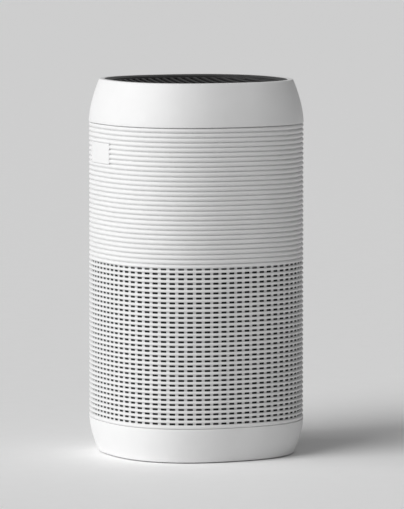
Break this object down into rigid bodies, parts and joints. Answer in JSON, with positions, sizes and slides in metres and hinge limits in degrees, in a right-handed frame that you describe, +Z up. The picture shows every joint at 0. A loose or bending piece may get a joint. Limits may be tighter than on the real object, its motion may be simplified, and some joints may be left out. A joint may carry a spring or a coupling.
{
  "type": "air purifier",
  "caption": "Compact tower air purifier: ribbed rounded-square casing with a holed intake below, dished outlet grille on top, cylinder filter and centrifugal fan inside.",
  "frame": {"origin": "on the floor, under the middle of the casing", "axes": "+Z up; the front, with the blank plate, faces -Y; the mains socket faces +Y"},
  "size_m": [0.22, 0.22, 0.401],
  "materials": {
    "white_shell": "fine-textured moulded ABS",
    "black_plastic": "satin moulded ABS",
    "panel_gloss": "polished acrylic",
    "button_grey": "satin moulded ABS",
    "grey_plastic": "moulded polypropylene",
    "rubber": "moulded rubber",
    "lead_jacket": "extruded PVC",
    "filter_paper": "pleated glass-fibre paper",
    "carbon": "carbon granules in a net",
    "steel": "bright zinc-plated steel",
    "circuit_board": "solder mask over glass-fibre board",
    "copper": "enamelled copper windings",
    "light_guide": "frosted polycarbonate"
  },
  "bodies": {
    "housing": {"lid": "white_shell", "body_shell": "white_shell", "name_plate": "white_shell", "base_shell": "white_shell", "outlet_bezel": "black_plastic", "outlet_grille": "black_plastic", "inlet_guard": "black_plastic", "power_inlet": "black_plastic", "prefilter_net": "black_plastic", "air_duct": "black_plastic", "motor_mount": "black_plastic", "post_1": "black_plastic", "post_2": "black_plastic", "post_3": "black_plastic", "post_4": "black_plastic", "control_panel": "panel_gloss", "filter_top_cap": "grey_plastic", "filter_bottom_cap": "grey_plastic", "fan_deck": "grey_plastic", "particle_sensor": "grey_plastic", "filter_seal": "rubber", "foot_1": "rubber", "foot_2": "rubber", "foot_3": "rubber", "foot_4": "rubber", "power_lead": "lead_jacket", "motor_lead": "lead_jacket", "control_lead": "lead_jacket", "filter_media": "filter_paper", "carbon_sleeve": "carbon", "lower_bearing": "steel", "upper_bearing": "steel", "inlet_pin_1": "steel", "inlet_pin_2": "steel", "base_screw_1": "steel", "base_screw_2": "steel", "base_screw_3": "steel", "base_screw_4": "steel", "motor_screw_1": "steel", "motor_screw_2": "steel", "motor_screw_3": "steel", "main_board": "circuit_board", "control_board": "circuit_board", "motor_stator": "copper", "indicator_ring": "light_guide"},
    "fan": {"impeller": "grey_plastic", "motor_rotor": "steel", "motor_shaft": "steel"},
    "cover": {"filter_cover": "grey_plastic"},
    "power_button": {"power_button": "button_grey"},
    "speed_button": {"speed_button": "button_grey"},
    "timer_button": {"timer_button": "button_grey"},
    "sleep_button": {"sleep_button": "button_grey"},
    "lock_button": {"lock_button": "button_grey"}
  },
  "joints": [
    {"name": "fan_spin", "type": "hinge", "parent": "housing", "child": "fan", "pos_m": [0, 0, 0.24], "axis": [0, 0, 1], "continuous": true},
    {"name": "cover_twist", "type": "hinge", "parent": "housing", "child": "cover", "pos_m": [0, 0, 0.005], "axis": [0, 0, -1], "range_deg": [0, 30]},
    {"name": "power_press", "type": "slide", "parent": "housing", "child": "power_button", "axis": [0, 0, -1], "range_m": [0, 0.001], "stiffness_N_per_m": 800},
    {"name": "speed_press", "type": "slide", "parent": "housing", "child": "speed_button", "axis": [0, 0, -1], "range_m": [0, 0.001], "stiffness_N_per_m": 800},
    {"name": "timer_press", "type": "slide", "parent": "housing", "child": "timer_button", "axis": [0, 0, -1], "range_m": [0, 0.001], "stiffness_N_per_m": 800},
    {"name": "sleep_press", "type": "slide", "parent": "housing", "child": "sleep_button", "axis": [0, 0, -1], "range_m": [0, 0.001], "stiffness_N_per_m": 800},
    {"name": "lock_press", "type": "slide", "parent": "housing", "child": "lock_button", "axis": [0, 0, -1], "range_m": [0, 0.001], "stiffness_N_per_m": 800}
  ]
}
